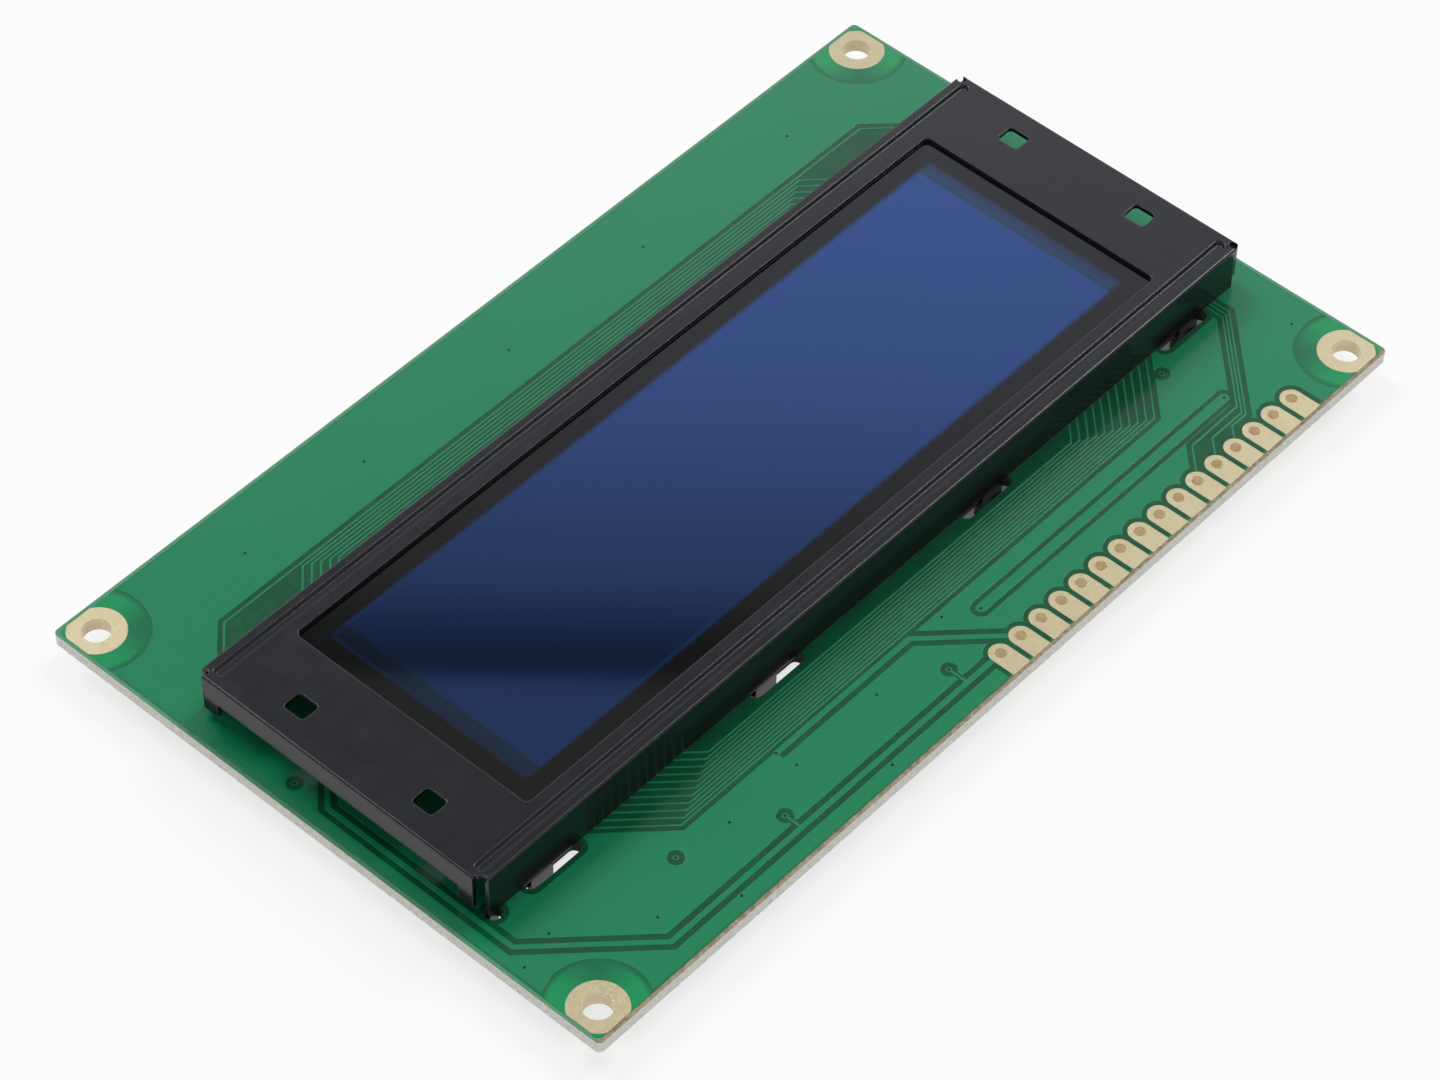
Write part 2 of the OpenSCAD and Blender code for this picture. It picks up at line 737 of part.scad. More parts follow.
module bead_underside() {
    translate([0, bead_y, panel_top - bead_depth]) bead(bead_foot, bead_depth + sheet_t/2);
}

// Tab: a neck through the slot and a tip that turns step by step behind the board
module bezel_tab() {
    neck_end = -board_t - mask_top - tab_start;
    tip_end = -board_t - tab_drop;
    translate([-tab_w/2, -sheet_t/2, neck_end]) cube([tab_w, sheet_t, mask_top + eps - neck_end]);
    for (k = [1:twist_steps]) {
        bottom = k == twist_steps ? tip_end : neck_end - k*twist_step_h;
        rotate(tab_twist*k/twist_steps) translate([-tab_w/2, -sheet_t/2, bottom])
            cube([tab_w, sheet_t, neck_end - (k - 1)*twist_step_h + twist_lap - bottom]);
    }
}

module bezel_peg() {
    translate([-peg_w/2, -sheet_t/2, -board_t]) cube([peg_w, sheet_t, board_t + mask_top + eps]);
}

module bezel() color("#26272b") difference() {
    union() {
        bezel_plate();
        for (m = [0, 1]) {
            mirror([0, m, 0]) long_wall();
            mirror([0, m, 0]) bead_underside();
        }
        translate([peg_x, tab_y, 0]) bezel_peg();
        short_wall(right_low_setback, right_high_setback);
        mirror([1, 0, 0]) short_wall(left_wall_setback, left_wall_setback);
        quarters() for (x = slot_xs) translate([x + tab_shift, tab_y, 0]) bezel_tab();
    }
    translate([0, 0, panel_top - eps]) linear_extrude(sheet_t + 2*eps) {
        rounded_rect(window_w, window_h, window_r);
        four(hole_x, hole_dy/2) rounded_rect(hole_w, hole_h, hole_r);
    }
    translate([0, 0, panel_top - eps]) linear_extrude(sheet_t + 2*eps)
        four(bezel_w/2 - bend_out, bezel_h/2 - bend_out) circle(relief_r);
    for (m = [0, 1]) mirror([0, m, 0]) bead_groove();
}

// Display panel
module slab(w, h, bottom, t) {
    translate([-w/2, -h/2, bottom]) cube([w, h, t]);
}

module polariser_film() color("#15161c") slab(cap_w, glass_h, glass_top, polariser_t);

module front_glass() color("#2a3550") slab(glass_w, glass_h, glass_bottom, glass_t);

module emitter_layers() color("#30437a") slab(picture_w, picture_h, glass_bottom - emitter_t, emitter_t);

module panel_seal() color("#8c8a80") difference() {
    slab(cap_w, cap_h, cap_top, seal_t);
    slab(cap_w - 2*seal_w, cap_h - 2*seal_w, cap_top - eps, seal_t + 2*eps);
}

module rear_cap_glass() color("#9fb0ad") difference() {
    slab(cap_w, cap_h, cap_bottom, cap_t);
    slab(cap_w - 2*seal_w, cap_h - 2*seal_w, cap_top - cap_pocket, cap_pocket + eps);
}

module drying_sheet() color("#e4e2d8")
    slab(cap_w - 2*seal_w - 2*dryer_margin, cap_h - 2*seal_w - 2*dryer_margin, cap_top - cap_pocket, dryer_t);

module contact_strip() {
    translate([0, strip_y, 0]) slab(strip_l, strip_w, mask_top, glass_bottom - mask_top);
}

module upper_contact_strip() color("#5d5f63") contact_strip();

module lower_contact_strip() color("#5d5f63") mirror([0, 1, 0]) contact_strip();

module panel_holder() color("#1d1d1f") translate([0, 0, mask_top]) linear_extrude(cap_bottom - mask_top)
    difference() {
        rounded_rect(holder_w, holder_h, holder_corner_r);
        for (sy = [-1, 1]) translate([0, sy*strip_y])
            square([strip_l + 2*strip_clear, strip_w + 2*strip_clear], center = true);
        for (sx = [-1, 1]) translate([sx*strip_l/4, 0])
            square([strip_l/2 - holder_bar, 2*strip_y - strip_w - 2*holder_bar], center = true);
    }

// Driver dies and their resin covers on the back
module driver_die(side) {
    on_back() translate([side*cover_x, 0, mask_top]) slab(die_l, die_w, 0, die_t);
}

module resin_cover(side) {
    dome_r = (cover_d*cover_d/4 + cover_h*cover_h)/(2*cover_h);
    difference() {
        on_back() translate([side*cover_x, 0, mask_top]) intersection() {
            translate([0, 0, cover_h - dome_r]) sphere(dome_r, $fn = 240);
            cylinder(d = cover_d + eps, h = cover_h + eps);
        }
        driver_die(side);
    }
}

module left_driver_die() color("#4a4c52") driver_die(-1);

module right_driver_die() color("#4a4c52") driver_die(1);

module left_resin_cover() color("#161616") resin_cover(-1);

module right_resin_cover() color("#161616") resin_cover(1);

// Small parts on the back
part_seat = copper_t + solder_t;

// Middle of a chip part, between its end caps
module chip_body(l, w, h) {
    slab(l - 2*end_cap_l, w, part_seat, h);
}

module chip_caps(l, w, h) {
    for (sx = [-1, 1]) translate([sx*(l - end_cap_l)/2, 0, 0]) slab(end_cap_l, w, part_seat, h);
}

module chip_resistors() color("#1c1c1e") on_back()
    each_place(resistor_places) chip_body(resistor_l, resistor_w, resistor_h);

module chip_capacitors() color("#a5845c") on_back()
    each_place(capacitor_places) chip_body(capacitor_l, capacitor_w, capacitor_h);

module chip_end_caps() color("#c9c9c6") on_back() {
    each_place(resistor_places) chip_caps(resistor_l, resistor_w, resistor_h);
    each_place(capacitor_places) chip_caps(capacitor_l, capacitor_w, capacitor_h);
}

module boost_coil() color("#3a3a3c") on_back() each_place([coil_place])
    translate([0, 0, part_seat]) difference() {
        linear_extrude(coil_h) rounded_rect(coil_side, coil_side, coil_corner_r);
        translate([0, 0, coil_h - coil_well])
            cylinder(d = coil_side - 2*coil_wall, h = coil_well + eps);
    }

module coil_core() color("#2b2b2d") on_back() each_place([coil_place])
    translate([0, 0, part_seat + coil_h - coil_well]) cylinder(d = coil_core_d, h = coil_well);

// Package with drafted sides, seen along its length l
module package(l, w) {
    mid = part_seat + lead_t + package_h/2;
    translate([0, l/2, 0]) rotate([90, 0, 0]) linear_extrude(l) polygon([
        [-w/2 + package_draft, part_seat + lead_t], [w/2 - package_draft, part_seat + lead_t],
        [w/2, mid], [w/2 - package_draft, part_seat + package_h],
        [-w/2 + package_draft, part_seat + package_h], [-w/2, mid]
    ]);
}

// Bent lead that leaves a package at distance reach from its middle
module bent_lead(reach, y, w) {
    mid = part_seat + lead_t + package_h/2;
    foot_z = part_seat + lead_t/2;
    knee = reach + lead_out - lead_foot - lead_knee;
    translate([0, y + w/2, 0]) rotate([90, 0, 0]) linear_extrude(w) stroke([
        [reach, mid], [knee, mid], [knee + lead_knee, foot_z], [reach + lead_out, foot_z]
    ], lead_t);
}

module boost_converter() color("#1b1b1d") on_back()
    each_place([converter_place]) package(converter_l, converter_w);

module converter_leads() color("#c4c4c2") on_back() each_place([converter_place]) {
    for (y = converter_ys) bent_lead(converter_w/2, y, converter_lead_w);
    mirror([1, 0, 0]) for (y = converter_pair) bent_lead(converter_w/2, y, converter_lead_w);
}

module rectifier_diode() color("#1b1b1d") on_back()
    each_place([diode_place]) package(converter_w, diode_l);

module diode_leads() color("#c4c4c2") on_back() each_place([diode_place])
    for (m = [0, 1]) mirror([m, 0, 0]) bent_lead(diode_l/2, 0, diode_lead_w);

// Solder under and outside one end of a part: foot from u0 to u1, fillet up the end face
module solder_end(u0, u1, w, rise) {
    translate([0, w/2, 0]) rotate([90, 0, 0]) linear_extrude(w) polygon([
        [u0, copper_t], [u1 + land_reach, copper_t], [u1, part_seat + rise], [u1, part_seat],
        [u0, part_seat]
    ]);
}

module chip_solder(l, w, h, cap) {
    for (m = [0, 1]) mirror([m, 0, 0]) solder_end(l/2 - cap, l/2, w, fillet_rise*h);
}

module lead_solder(reach, ys, w) {
    for (y = ys) translate([0, y, 0])
        solder_end(reach + lead_out - lead_foot, reach + lead_out, w, lead_t/2);
}

module solder_joints() color("#b9bab8") on_back() {
    each_place(resistor_places) chip_solder(resistor_l, resistor_w, resistor_h, end_cap_l);
    each_place(capacitor_places) chip_solder(capacitor_l, capacitor_w, capacitor_h, end_cap_l);
    each_place([coil_place]) chip_solder(coil_side, coil_land_w, coil_h/3, coil_land_l);
    each_place([converter_place]) {
        lead_solder(converter_w/2, converter_ys, converter_lead_w);
        mirror([1, 0, 0]) lead_solder(converter_w/2, converter_pair, converter_lead_w);
    }
    each_place([diode_place]) for (m = [0, 1]) mirror([m, 0, 0]) lead_solder(diode_l/2, [0], diode_lead_w);
}

circuit_board();
front_copper();
back_copper();
front_solder_mask();
back_solder_mask();
mounting_rings();
header_pads();
bezel();
polariser_film();
front_glass();
emitter_layers();
panel_seal();
rear_cap_glass();
drying_sheet();
upper_contact_strip();
lower_contact_strip();
panel_holder();
left_driver_die();
right_driver_die();
left_resin_cover();
right_resin_cover();
chip_resistors();
chip_capacitors();
chip_end_caps();
boost_coil();
coil_core();
boost_converter();
converter_leads();
rectifier_diode();
diode_leads();
solder_joints();
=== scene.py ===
"""Looks for the graphic display module: camera, floor, studio light and a material for each CAD node."""

import json
import math

import bpy
from mathutils import Matrix, Vector


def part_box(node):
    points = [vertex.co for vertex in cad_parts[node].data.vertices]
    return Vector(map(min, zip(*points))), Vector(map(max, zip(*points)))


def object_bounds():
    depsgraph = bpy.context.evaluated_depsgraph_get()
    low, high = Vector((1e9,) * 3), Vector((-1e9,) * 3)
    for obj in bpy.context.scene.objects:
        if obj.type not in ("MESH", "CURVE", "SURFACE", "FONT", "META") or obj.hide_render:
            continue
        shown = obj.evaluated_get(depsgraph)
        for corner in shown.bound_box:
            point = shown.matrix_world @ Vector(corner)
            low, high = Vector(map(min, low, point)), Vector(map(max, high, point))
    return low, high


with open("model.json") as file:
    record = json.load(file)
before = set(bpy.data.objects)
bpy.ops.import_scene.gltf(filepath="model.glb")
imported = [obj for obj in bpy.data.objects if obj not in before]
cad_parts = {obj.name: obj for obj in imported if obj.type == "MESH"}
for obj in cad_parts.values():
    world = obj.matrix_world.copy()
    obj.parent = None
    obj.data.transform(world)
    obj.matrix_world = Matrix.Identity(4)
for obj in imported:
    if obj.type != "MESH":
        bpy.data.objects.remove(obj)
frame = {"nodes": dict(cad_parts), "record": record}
cad_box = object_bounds()

MM = 0.001
FLOOR_Z = cad_box[0].z

# Camera of the photograph: where it stands, how it is turned and how long its lens is
AZIMUTH = math.radians(131.271)
ELEVATION = math.radians(48.510)
ROLL = math.radians(1.046)
AIM = Vector((5.332, 2.756, 0.0)) * MM
DISTANCE = 404.556 * MM
LENS_MM, SENSOR_MM = 123.69, 36.0

# The sizes below are in millimetres, and the materials follow them. The board's front face is at height 0
board_low, board_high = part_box("circuit_board")
BOARD_HALF_X, BOARD_HALF_Y = board_high.x / MM, board_high.y / MM
BOARD_HALF_T = -board_low.z / MM / 2

# Screw holes, each in a ring that has no copper
screw_holes = next(m["dims"] for m in frame["record"]["mounts"] if m["name"] == "mounting_holes")
MOUNT_X, MOUNT_Y = screw_holes["spacing_x_mm"] / 2, screw_holes["spacing_y_mm"] / 2
MOUNT_CLEAR_R = 4.5

# Rows in which the slots for the bezel's tabs and the peg hole lie
SLOT_LOW_Y, SLOT_HIGH_Y = 14.6, 16.6
SLOT_END_X = BOARD_HALF_X - 0.5

# Height of the mask above the laminate: where it is sunk, over a via, and over copper
MASK_SUNK, MASK_VIA_LOW, MASK_VIA_HIGH, MASK_TOP = 0.046, 0.0465, 0.056, 0.064

# Picture area, with a thin line and a strip past either end
picture_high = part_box("emitter_layers")[1]
PICTURE_HALF_X, PICTURE_HALF_Y = picture_high.x / MM, picture_high.y / MM
PICTURE_LINE, PICTURE_STRIP = PICTURE_HALF_X + 0.35, PICTURE_HALF_X + 1.35


def grey(level):
    """A colour with as much red as green and blue."""
    return (level, level, level)


class Nodes:
    """A node tree under construction. A colour is three numbers."""

    def __init__(self, tree):
        self.tree = tree

    def add(self, kind, **settings):
        """A new node with these settings."""
        node = self.tree.nodes.new(kind)
        for key, value in settings.items():
            setattr(node, key, value)
        return node

    def feed(self, socket, value):
        """Links value to a socket if it is one, and sets it if it is a number, vector or colour."""
        if isinstance(value, bpy.types.NodeSocket):
            self.tree.links.new(value, socket)
        elif socket.type == "RGBA":
            socket.default_value = (*value, 1.0)
        else:
            socket.default_value = value

    def math(self, operation, a, b=0.0, c=0.0):
        """The number that the operation gives."""
        node = self.add("ShaderNodeMath", operation=operation)
        for socket, value in zip(node.inputs, (a, b, c)):
            self.feed(socket, value)
        return node.outputs[0]

    def size(self, value):
        """A number without its sign."""
        return self.math("ABSOLUTE", value)

    def times(self, *shares):
        """Product of all shares."""
        product = shares[0]
        for share in shares[1:]:
            product = self.math("MULTIPLY", product, share)
        return product

    def vector(self, operation, a, b=(0.0, 0.0, 0.0)):
        """A vector, or the number that a dot product gives."""
        node = self.add("ShaderNodeVectorMath", operation=operation)
        self.feed(node.inputs[0], a)
        self.feed(node.inputs[1], b)
        return node.outputs["Value" if operation == "DOT_PRODUCT" else "Vector"]

    def split(self, vector):
        """The sockets X, Y and Z of a vector."""
        node = self.add("ShaderNodeSeparateXYZ")
        self.feed(node.inputs[0], vector)
        return node.outputs

    def step(self, value, low, high, at_low=0.0, at_high=1.0):
        """Runs smoothly from at_low to at_high as value goes from low to high."""
        node = self.add("ShaderNodeMapRange", interpolation_type="SMOOTHSTEP")
        for socket, number in zip(node.inputs, (value, low, high, at_low, at_high)):
            self.feed(socket, number)
        return node.outputs[0]

    def fade(self, value, low, high):
        """Runs smoothly from one to nothing as value goes from low to high."""
        return self.step(value, low, high, 1.0, 0.0)

    def between(self, value, low, high, soft):
        """One from low to high, falling to nothing over soft on either side."""
        return self.times(self.step(value, low - soft, low), self.fade(value, high, high + soft))

    def mix(self, share, a, b):
        """Colour a at share 0 and colour b at share 1."""
        node = self.add("ShaderNodeMix", data_type="RGBA")
        self.feed(node.inputs[0], share)
        self.feed(node.inputs[6], a)
        self.feed(node.inputs[7], b)
        return node.outputs[2]

    def blend(self, share, a, b):
        """Shader a at share 0 and shader b at share 1."""
        node = self.add("ShaderNodeMixShader")
        for socket, value in zip(node.inputs, (share, a.outputs[0], b.outputs[0])):
            self.feed(socket, value)
        return node.outputs[0]

    def ramp(self, value, stops):
        """Colour by value, from (position, colour) stops."""
        node = self.add("ShaderNodeValToRGB")
        band = node.color_ramp
        while len(band.elements) < len(stops):
            band.elements.new(0.5)
        for element, (position, colour) in zip(band.elements, stops):
            element.position = position
            element.color = (*colour, 1.0)
        self.feed(node.inputs[0], value)
        return node.outputs[0]


class Look(Nodes):
    """A material under construction, with places in millimetres of the part's own frame."""

    def __init__(self, name, roughness=0.5, metallic=0.0):
        self.material = bpy.data.materials.new(name)
        self.material.use_nodes = True
        super().__init__(self.material.node_tree)
        self.shader = self.tree.nodes["Principled BSDF"]
        self.set("Roughness", roughness)
        self.set("Metallic", metallic)
        own_place = self.add("ShaderNodeTexCoord").outputs["Object"]
        self.place = self.vector("MULTIPLY", own_place, [1 / MM] * 3)
        self.x, self.y, self.z = self.split(self.place)

    def set(self, name, value):
        """Feeds a socket of the material's own shader."""
        self.feed(self.shader.inputs[name], value)

    def noise(self, per_mm, detail=2.0, stretch=(1, 1, 1), roughness=0.5):
        """Noise with about per_mm grains to the millimetre, drawn out along an axis by stretch."""
        node = self.add("ShaderNodeTexNoise")
        self.feed(node.inputs["Vector"], self.vector("MULTIPLY", self.place, [1 / s for s in stretch]))
        self.feed(node.inputs["Scale"], per_mm)
        self.feed(node.inputs["Detail"], detail)
        self.feed(node.inputs["Roughness"], roughness)
        return node.outputs["Fac"]

    def vary(self, grain, dark, light, low=0.35, high=0.65):
        """Colour from dark to light with a noise."""
        return self.mix(self.step(grain, low, high), dark, light)

    def rough(self, grain, low, high):
        """Roughness that varies from low to high with a noise."""
        self.set("Roughness", self.step(grain, 0.3, 0.7, at_low=low, at_high=high))

    def rounded(self, edge_mm, samples):
        """Normals of the surface with its edges rounded by edge_mm."""
        node = self.add("ShaderNodeBevel", samples=samples)
        self.feed(node.inputs["Radius"], edge_mm * MM)
        return node.outputs[0]

    def leaning(self, normal, lean):
        """Normals that are tipped up by lean."""
        up = self.add("ShaderNodeCombineXYZ")
        self.feed(up.inputs["Z"], lean)
        return self.vector("NORMALIZE", self.vector("ADD", normal, up.outputs[0]))

    def relief(self, height, depth_mm, strength=1.0, edge_mm=0.0, lean=None):
        """Bump of that depth, over edges that are rounded by edge_mm and, with lean, on tipped faces."""
        bump = self.add("ShaderNodeBump")
        self.feed(bump.inputs["Height"], height)
        self.feed(bump.inputs["Distance"], depth_mm * MM)
        self.feed(bump.inputs["Strength"], strength)
        if edge_mm:
            normal = self.rounded(edge_mm, samples=6)
            self.feed(bump.inputs["Normal"], self.leaning(normal, lean) if lean else normal)
        self.set("Normal", bump.outputs["Normal"])

    def true_normal(self):
        """The way that the flat face looks, without rounding or bump."""
        return self.add("ShaderNodeNewGeometry").outputs["True Normal"]

    def facing(self, axis):
        """One on faces that look along the axis either way, nothing on faces that look square to it."""
        return self.size(self.split(self.true_normal())[axis])

    def lying(self):
        """One on level faces, nothing on upright ones."""
        steepest = 0.7
        return self.math("GREATER_THAN", self.facing("Z"), steepest)

    def from_middle(self):
        """Distance from the plane half way through the board."""
        return self.size(self.math("ADD", self.z, BOARD_HALF_T))


def laminate():
    """The board: pale where it is sawn, and bare in a narrow rim on its faces."""
    look = Look("laminate", roughness=0.85)
    layers = look.noise(5, detail=4, stretch=(2.5, 2.5, 0.5), roughness=0.7)
    fibres = look.noise(14, detail=3, stretch=(1, 1, 2))
    sawn = look.vary(layers, (0.52, 0.51, 0.44), (0.90, 0.90, 0.83), low=0.3)
    sawn = look.mix(look.step(fibres, 0.5, 0.75), sawn, (0.92, 0.92, 0.87))
    # The bare rim is brown along the pads and takes the green of the mask along the other edges
    brown = look.vary(layers, (0.24, 0.19, 0.12), (0.46, 0.39, 0.27))
    rim_y, soft = BOARD_HALF_Y - 0.5, 0.1
    along_pads = look.step(look.y, rim_y - soft, rim_y + soft)
    rim = look.mix(along_pads, (0.10, 0.33, 0.18), brown)
    body = look.mix(look.lying(), sawn, rim)
    # The walls of the slots and the peg hole are painted dark: painted shade under the bezel
    across = look.size(look.y)
    in_row = look.times(
        look.math("GREATER_THAN", across, SLOT_LOW_Y),
        look.math("LESS_THAN", across, SLOT_HIGH_Y),
        look.math("LESS_THAN", look.size(look.x), SLOT_END_X),
    )
    slot_wall_painted_shade = look.vary(layers, (0.05, 0.06, 0.04), (0.11, 0.12, 0.09))
    look.set("Base Color", look.mix(in_row, body, slot_wall_painted_shade))
    look.relief(look.math("ADD", layers, fibres), depth_mm=0.12, strength=0.8, edge_mm=0.06)
    return look.material


def copper_foil():
    """Etched copper, which the mask covers."""
    look = Look("copper_foil", roughness=0.4, metallic=1.0)
    grain = look.noise(20, detail=4)
    look.set("Base Color", look.vary(grain, (0.55, 0.25, 0.12), (0.78, 0.42, 0.24)))
    look.relief(grain, depth_mm=0.004)
    return look.material


def solder_mask():
    """Green film over copper and bare laminate, on both sides of the board."""
    look = Look("solder_mask")
    over_copper, over_bare, over_via = (0.008, 0.222, 0.092), (0.001, 0.078, 0.029), (0.001, 0.016, 0.008)
    rim, haze = (0.004, 0.225, 0.080), (0.012, 0.240, 0.110)
    ring_outer, ring_inner = (0.005, 0.288, 0.096), (0.004, 0.145, 0.064)
    ring_border = (0.003, 0.145, 0.058)
    # Height of the film above the laminate on its own side of the board
    outward = look.math("SUBTRACT", look.from_middle(), BOARD_HALF_T)
    colour = look.mix(look.step(outward, MASK_SUNK, MASK_TOP), over_bare, over_copper)
    # The film dips into the covered vias, where it is almost black
    dip = look.times(
        look.step(outward, MASK_SUNK, MASK_VIA_LOW),
        look.fade(outward, MASK_VIA_HIGH, MASK_VIA_HIGH + 0.004),
        look.lying(),
    )
    colour = look.mix(dip, colour, over_via)
    # A narrow rim has no copper on either side of the board, so light shines in from the edge
    from_edge = look.math(
        "MINIMUM",
        look.math("SUBTRACT", BOARD_HALF_X, look.size(look.x)),
        look.math("SUBTRACT", BOARD_HALF_Y, look.size(look.y)),
    )
    rim_w, rim_end = 0.35, 0.6
    colour = look.mix(look.fade(from_edge, rim_w, rim_end), colour, rim)
    # So it does in the rings round the screw holes, which are darker inward and at their border
    lightest_at, darkest_at, border_w = 1.0, 5.5, 0.7
    from_x = look.math("SUBTRACT", look.size(look.x), MOUNT_X)
    from_y = look.math("SUBTRACT", look.size(look.y), MOUNT_Y)
    away = look.math("SQRT", look.math("MULTIPLY_ADD", from_x, from_x, look.times(from_y, from_y)))
    ring = look.mix(look.step(from_edge, lightest_at, darkest_at), ring_outer, ring_inner)
    ring = look.mix(look.step(away, MOUNT_CLEAR_R - border_w, MOUNT_CLEAR_R - 0.1), ring, ring_border)
    colour = look.mix(look.fade(away, MOUNT_CLEAR_R - 0.05, MOUNT_CLEAR_R + 0.1), colour, ring)
    clouds = look.step(look.noise(0.25), 0.35, 0.7, at_high=0.10)
    look.set("Base Color", look.mix(clouds, colour, haze))
    look.rough(look.noise(2, detail=3), 0.12, 0.18)
    look.relief(look.noise(2.5, detail=3), depth_mm=0.003, strength=0.4, edge_mm=0.05)
    return look.material


def gold_plate():
    """Thin gold on the rings and pads. The walls of their holes are matte and painted pale, as painted
    light in the holes.
    """
    look = Look("gold_plate")
    grain = look.noise(12, detail=4)
    stain = look.step(look.noise(1.2, detail=3), 0.45, 0.8, at_high=0.35)
    tone = look.vary(grain, (0.525, 0.455, 0.272), (0.580, 0.515, 0.328))
    tone = look.mix(stain, tone, (0.51, 0.42, 0.25))
    # The hole walls get a pale matte colour: painted light inside the holes
    hole_wall_painted_light = look.fade(look.from_middle(), BOARD_HALF_T - 0.06, BOARD_HALF_T)
    look.set("Base Color", look.mix(hole_wall_painted_light, tone, (0.98, 0.84, 0.62)))
    look.set("Metallic", look.fade(hole_wall_painted_light, 0.0, 1.0))
    look.rough(look.noise(6, detail=3), 0.28, 0.36)
    look.relief(grain, depth_mm=0.002, strength=0.3, edge_mm=0.03)
    return look.material


def black_lacquer():
    """Black paint on the bezel's steel, with a fine peel."""
    look = Look("black_lacquer")
    peel = look.noise(2.2, detail=3)
    specks = look.noise(18)
    tone = look.vary(look.noise(0.12), (0.0062, 0.0073, 0.0100), (0.0078, 0.0090, 0.0116))
    tone = look.mix(look.step(specks, 0.70, 0.80, at_high=0.3), tone, (0.030, 0.032, 0.036))
    # Along the sharp edges of the sheet the lacquer is pale: partly thin worn lacquer, partly a painted
    # highlight
    flatness = look.vector("DOT_PRODUCT", look.rounded(0.10, samples=8), look.true_normal())
    worn_edge_and_highlight = look.times(look.fade(flatness, 0.80, 0.97), look.step(peel, 0.25, 0.6, at_low=0.5))
    look.set("Base Color", look.mix(worn_edge_and_highlight, tone, (0.085, 0.088, 0.094)))
    look.rough(look.noise(0.4), 0.155, 0.195)
    # The short walls spring out a little after folding; here only their normals are tipped up, and the
    # solids stay upright
    short_wall_lean = look.step(look.facing("X"), 0.95, 0.99, at_high=0.16)
    speck_share = 0.15
    height = look.math("MULTIPLY_ADD", specks, speck_share, peel)
    look.relief(height, depth_mm=0.006, strength=0.3, edge_mm=0.15, lean=short_wall_lean)
    return look.material


def polariser():
    """The film over the panel, with the picture area that shows through it."""
    look = Look("polariser", roughness=0.035)
    margin, line, strip = (0.0022, 0.0026, 0.0030), (0.006, 0.038, 0.090), (0.006, 0.031, 0.098)
    blue, light_blue = (0.008, 0.0575, 0.242), (0.010, 0.065, 0.258)
    soft, crisp = 0.36, 0.1
    across, along = look.size(look.y), look.size(look.x)
    lit = look.times(
        look.fade(across, PICTURE_HALF_Y - soft, PICTURE_HALF_Y + soft),
        look.fade(along, PICTURE_STRIP - soft, PICTURE_STRIP + soft),
    )
    past_picture = look.step(along, PICTURE_HALF_X - soft, PICTURE_HALF_X + crisp)
    past_line = look.step(along, PICTURE_LINE - crisp, PICTURE_LINE + soft)
    on_line = look.times(past_picture, look.math("SUBTRACT", 1.0, past_line))
    clouds = look.step(look.noise(0.08), 0.3, 0.7, at_high=0.12)
    tone = look.mix(past_line, look.mix(clouds, blue, light_blue), strip)
    look.set("Base Color", look.mix(lit, margin, look.mix(on_line, tone, line)))
    look.set("Metallic", lit)
    look.set("Coat Weight", lit)
    look.set("Coat Roughness", 0.03)
    look.set("Coat IOR", 1.5)
    look.relief(look.noise(0.3), depth_mm=0.004, strength=0.05)
    return look.material


def panel_glass():
    """The panel's two glasses."""
    look = Look("panel_glass", roughness=0.06)
    look.set("Base Color", look.vary(look.noise(0.5), (0.020, 0.030, 0.034), (0.028, 0.040, 0.044)))
    look.relief(look.noise(0.6), depth_mm=0.003, strength=0.1, edge_mm=0.06)
    return look.material


def picture_layer():
    """The thin layers of the picture area, a dim blue mirror."""
    look = Look("picture_layer", roughness=0.06, metallic=1.0)
    look.set("Base Color", look.vary(look.noise(0.1), (0.008, 0.055, 0.250), (0.010, 0.064, 0.285)))
    look.relief(look.noise(2), depth_mm=0.001, strength=0.1)
    return look.material


def contact_rubber():
    """Silicone strip with thin carbon layers across it."""
    look = Look("contact_rubber", roughness=0.7)
    layer_pitch = 0.18
    layers = look.math("SINE", look.math("MULTIPLY", look.x, 2 * math.pi / layer_pitch))
    carbon, silicone = (0.02, 0.02, 0.022), (0.24, 0.25, 0.27)
    look.set("Base Color", look.mix(look.step(layers, -0.3, 0.3), carbon, silicone))
    look.relief(look.noise(8, detail=3), depth_mm=0.01)
    return look.material


def resistor_ceramic():
    """White ceramic with a black coat on the face that looks away from the board."""
    look = Look("resistor_ceramic")
    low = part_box("chip_resistors")[0].z / MM
    coat_low, coat_high = low + 0.05, low + 0.07
    grain = look.noise(16, detail=3)
    coat = look.vary(grain, (0.010, 0.010, 0.011), (0.022, 0.022, 0.024))
    body = look.vary(grain, (0.58, 0.57, 0.53), (0.72, 0.71, 0.67))
    look.set("Base Color", look.mix(look.step(look.z, coat_low, coat_high), coat, body))
    look.rough(grain, 0.4, 0.6)
    look.relief(grain, depth_mm=0.006, strength=0.8, edge_mm=0.04)
    return look.material


def grained(name, dark, light, per_mm, roughness, depth_mm=0.006, metallic=0.0):
    """A plain moulded, pressed or plated surface with a fine grain."""
    look = Look(name, metallic=metallic)
    uneven = 0.06
    grain = look.noise(per_mm, detail=4, roughness=0.6)
    look.set("Base Color", look.vary(grain, dark, light))
    look.rough(look.noise(per_mm / 3, detail=3), roughness - uneven, roughness + uneven)
    look.relief(grain, depth_mm, strength=0.8, edge_mm=0.04)
    return look.material


